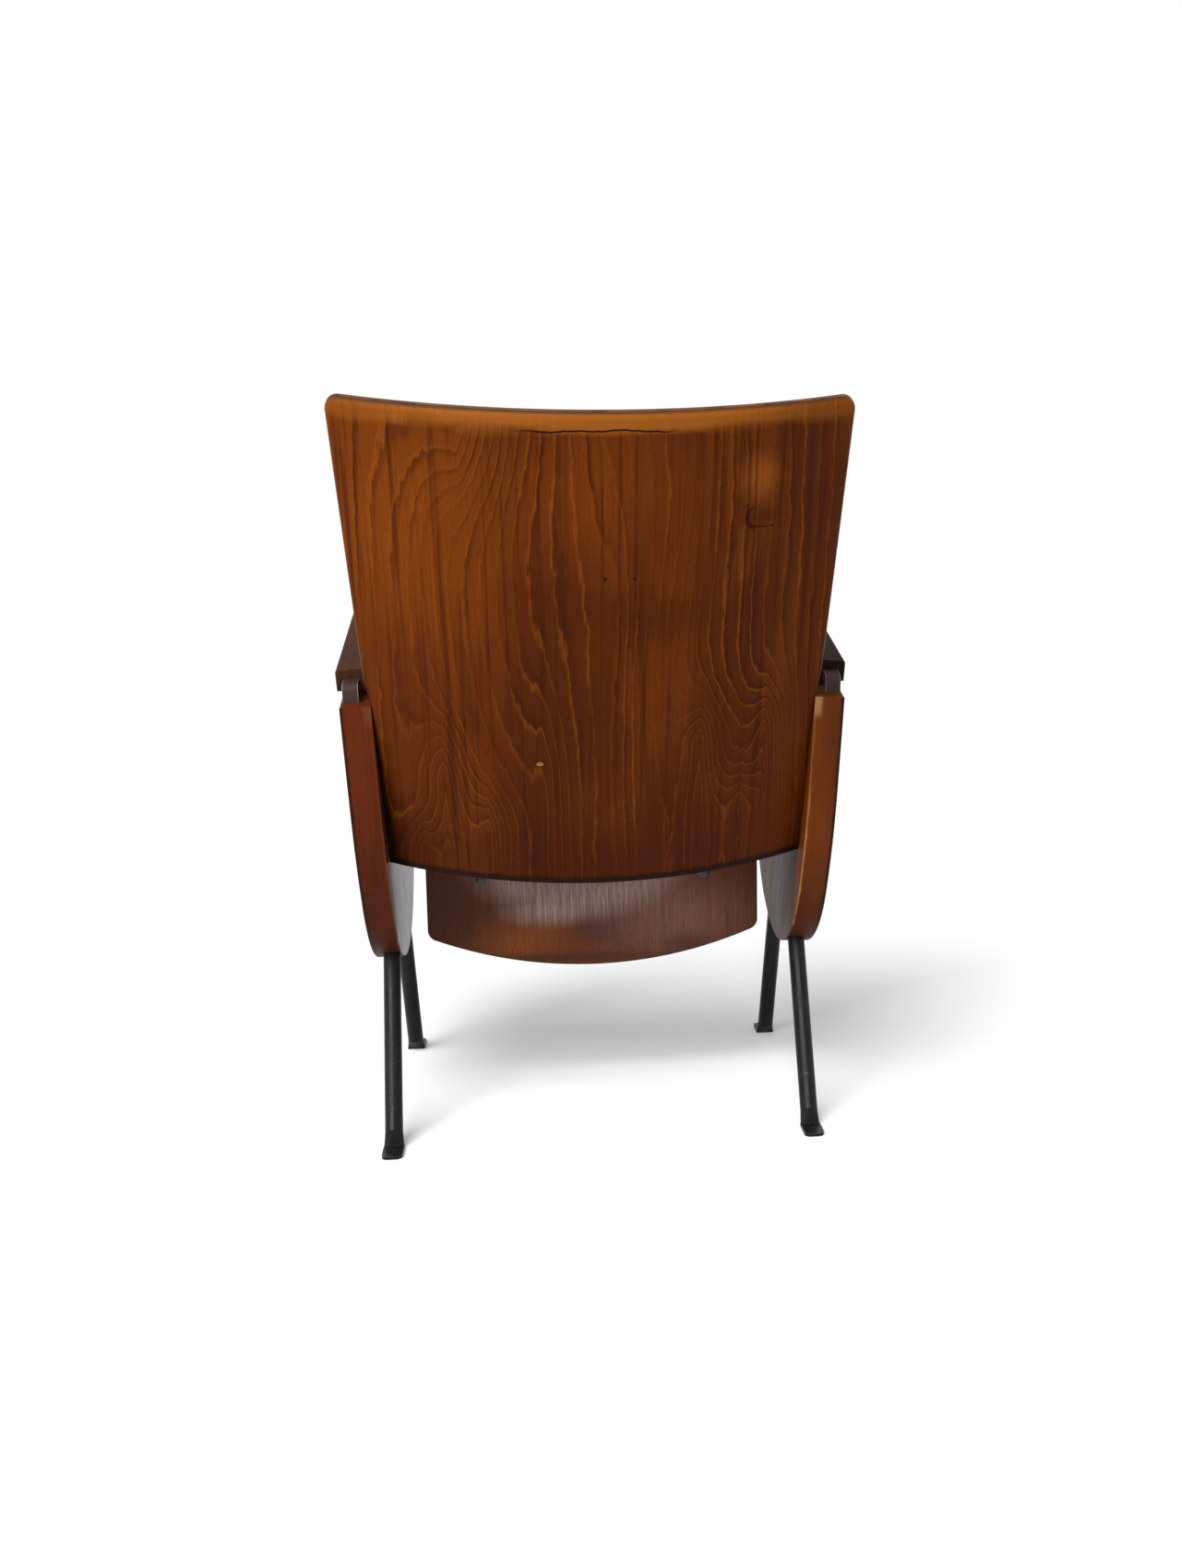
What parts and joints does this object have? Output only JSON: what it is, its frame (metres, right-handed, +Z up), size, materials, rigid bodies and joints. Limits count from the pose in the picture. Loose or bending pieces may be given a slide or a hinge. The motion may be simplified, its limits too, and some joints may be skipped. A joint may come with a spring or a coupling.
{
  "type": "tip up auditorium seat",
  "caption": "Tip-up auditorium chair with a bent plywood back and seat, wooden side panels, armrests on steel bars and splayed tube legs.",
  "frame": {"origin": "on the floor, in the middle of the four foot holes", "axes": "+Z up; -Y is the way the sitter faces and +Y is behind the back; +X is the sitter's left"},
  "size_m": [0.5744, 0.6113, 0.827],
  "materials": {
    "panel_wood": "varnished, worn",
    "cover_wood": "glossy veneer",
    "back_wood": "varnished cathedral grain",
    "seat_wood": "varnished, worn",
    "arm_wood": "dark stain, satin",
    "leg_paint": "black satin",
    "bar_steel": "dark paint worn at the edges",
    "hinge_steel": "black satin",
    "hardware": "dull zinc",
    "dark_bolt": "blackened"
  },
  "bodies": {
    "frame": {"side_panel_left": "panel_wood", "inner_cover_left": "cover_wood", "armrest_left": "arm_wood", "arm_bar_left": "bar_steel", "rear_leg_left": "leg_paint", "front_leg_left": "leg_paint", "leg_hub_left": "hinge_steel", "stop_collar_left": "hinge_steel", "side_panel_right": "panel_wood", "inner_cover_right": "cover_wood", "armrest_right": "arm_wood", "arm_bar_right": "bar_steel", "rear_leg_right": "leg_paint", "front_leg_right": "leg_paint", "leg_hub_right": "hinge_steel", "stop_collar_right": "hinge_steel", "back_panel": "back_wood", "back_brackets": "hardware", "bracket_screws": "hardware", "arm_screws": "hardware", "axle": "hinge_steel", "axle_bolts": "dark_bolt", "axle_washers": "hardware", "collar_screws": "dark_bolt"},
    "seat": {"seat_panel": "seat_wood", "seat_bracket_left": "hinge_steel", "seat_bracket_right": "hinge_steel", "seat_bolts": "dark_bolt", "seat_washers": "hardware", "seat_nuts": "hardware"}
  },
  "joints": [
    {"name": "seat_tip", "type": "hinge", "parent": "frame", "child": "seat", "pos_m": [0, -0.064, 0.35], "axis": [1, 0, 0], "range_deg": [0, 83]}
  ]
}
